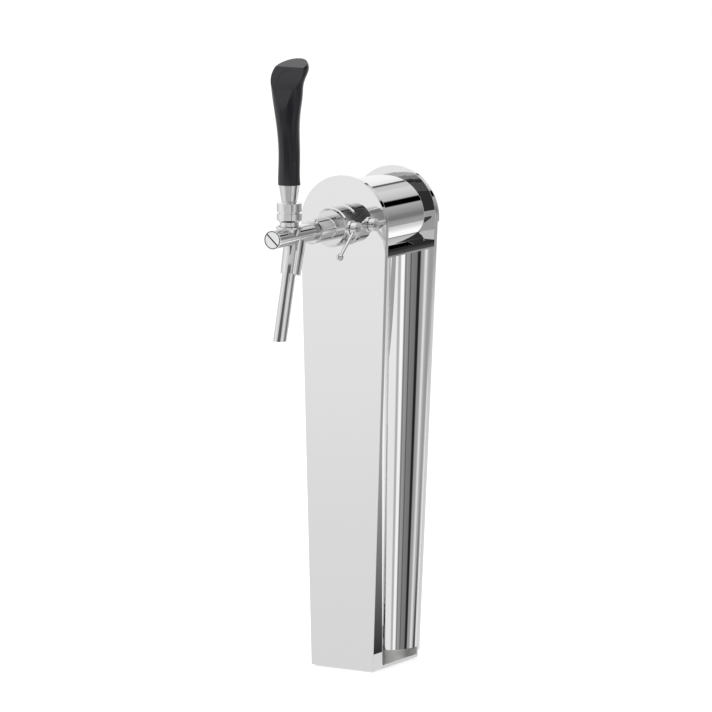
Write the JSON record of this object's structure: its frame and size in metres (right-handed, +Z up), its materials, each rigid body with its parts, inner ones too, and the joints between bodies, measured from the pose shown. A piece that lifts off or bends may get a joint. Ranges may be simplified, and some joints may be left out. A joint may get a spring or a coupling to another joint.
{
  "type": "beer tower dispenser",
  "caption": "Single-tap beer tower: polished steel keyhole plates, drum and half-round column, chrome flow-control tap, black lever handle.",
  "frame": {"origin": "centre of the underside of the base gasket, on the counter", "axes": "+Z up, -Y to the front (the tap side), +X to the right seen from the front"},
  "size_m": [0.096, 0.2355, 0.6067],
  "materials": {
    "polished_steel": "mirror polished",
    "chrome_plate": "polished",
    "plain_steel": "satin",
    "brass": "machined",
    "black_rubber": "matte",
    "white_plastic": "matte",
    "black_handle": "glossy",
    "sleeve_foam": "matte"
  },
  "bodies": {
    "tower": {"front_panel": "polished_steel", "rear_panel": "polished_steel", "rear_cover": "polished_steel", "rear_lid": "polished_steel", "drum_tube": "polished_steel", "top_rail": "polished_steel", "column_shell": "polished_steel", "column_collar": "polished_steel", "base_plate": "polished_steel", "shank_flange": "chrome_plate", "compensator_housing": "chrome_plate", "tap_body": "chrome_plate", "front_cap": "chrome_plate", "spout_socket": "chrome_plate", "spout_tube": "chrome_plate", "cover_screws": "plain_steel", "foot_screws": "plain_steel", "front_foot_bracket": "plain_steel", "rear_foot_bracket": "plain_steel", "product_line": "plain_steel", "shank": "plain_steel", "shank_washer": "plain_steel", "tail_elbow": "plain_steel", "line_nut": "plain_steel", "hinge_pin": "plain_steel", "shank_locknut": "brass", "tail_nut": "brass", "base_gasket": "black_rubber", "base_grommet": "black_rubber", "flow_lever_seal": "black_rubber", "front_cap_seal": "black_rubber", "spout_seal": "black_rubber", "rod_bush": "white_plastic", "insulation_sleeve": "sleeve_foam"},
    "tap_lever": {"lever_yoke": "chrome_plate", "lever_finger": "plain_steel", "lever_stud": "plain_steel", "lever_locknut": "chrome_plate", "lever_ferrule": "chrome_plate", "handle_insert": "brass", "handle": "black_handle"},
    "valve_plunger_body": {"valve_plunger": "plain_steel", "plunger_washer": "black_rubber"},
    "flow_lever_body": {"flow_lever": "chrome_plate", "flow_lever_screw": "chrome_plate"},
    "compensator_cone_body": {"compensator_cone": "white_plastic"}
  },
  "joints": [
    {"name": "tap_lever_hinge", "type": "hinge", "parent": "tower", "child": "tap_lever", "pos_m": [0, -0.14475, 0.446], "axis": [1, 0, 0], "range_deg": [0, 22]},
    {"name": "plunger_slide", "type": "slide", "parent": "tower", "child": "valve_plunger_body", "axis": [0, 1, 0], "range_m": [0, 0.0032]},
    {"name": "flow_lever_hinge", "type": "hinge", "parent": "tower", "child": "flow_lever_body", "pos_m": [0.0209, -0.06175, 0.438], "axis": [1, 0, 0], "range_deg": [-45, 45]},
    {"name": "cone_slide", "type": "slide", "parent": "tower", "child": "compensator_cone_body", "axis": [0, 1, 0], "range_m": [-0.0021, 0.0021]}
  ],
  "couplings": [
    {"joint": "plunger_slide", "follows": "tap_lever_hinge", "m_per_rad": 0.008},
    {"joint": "cone_slide", "follows": "flow_lever_hinge", "m_per_rad": -0.0025}
  ]
}
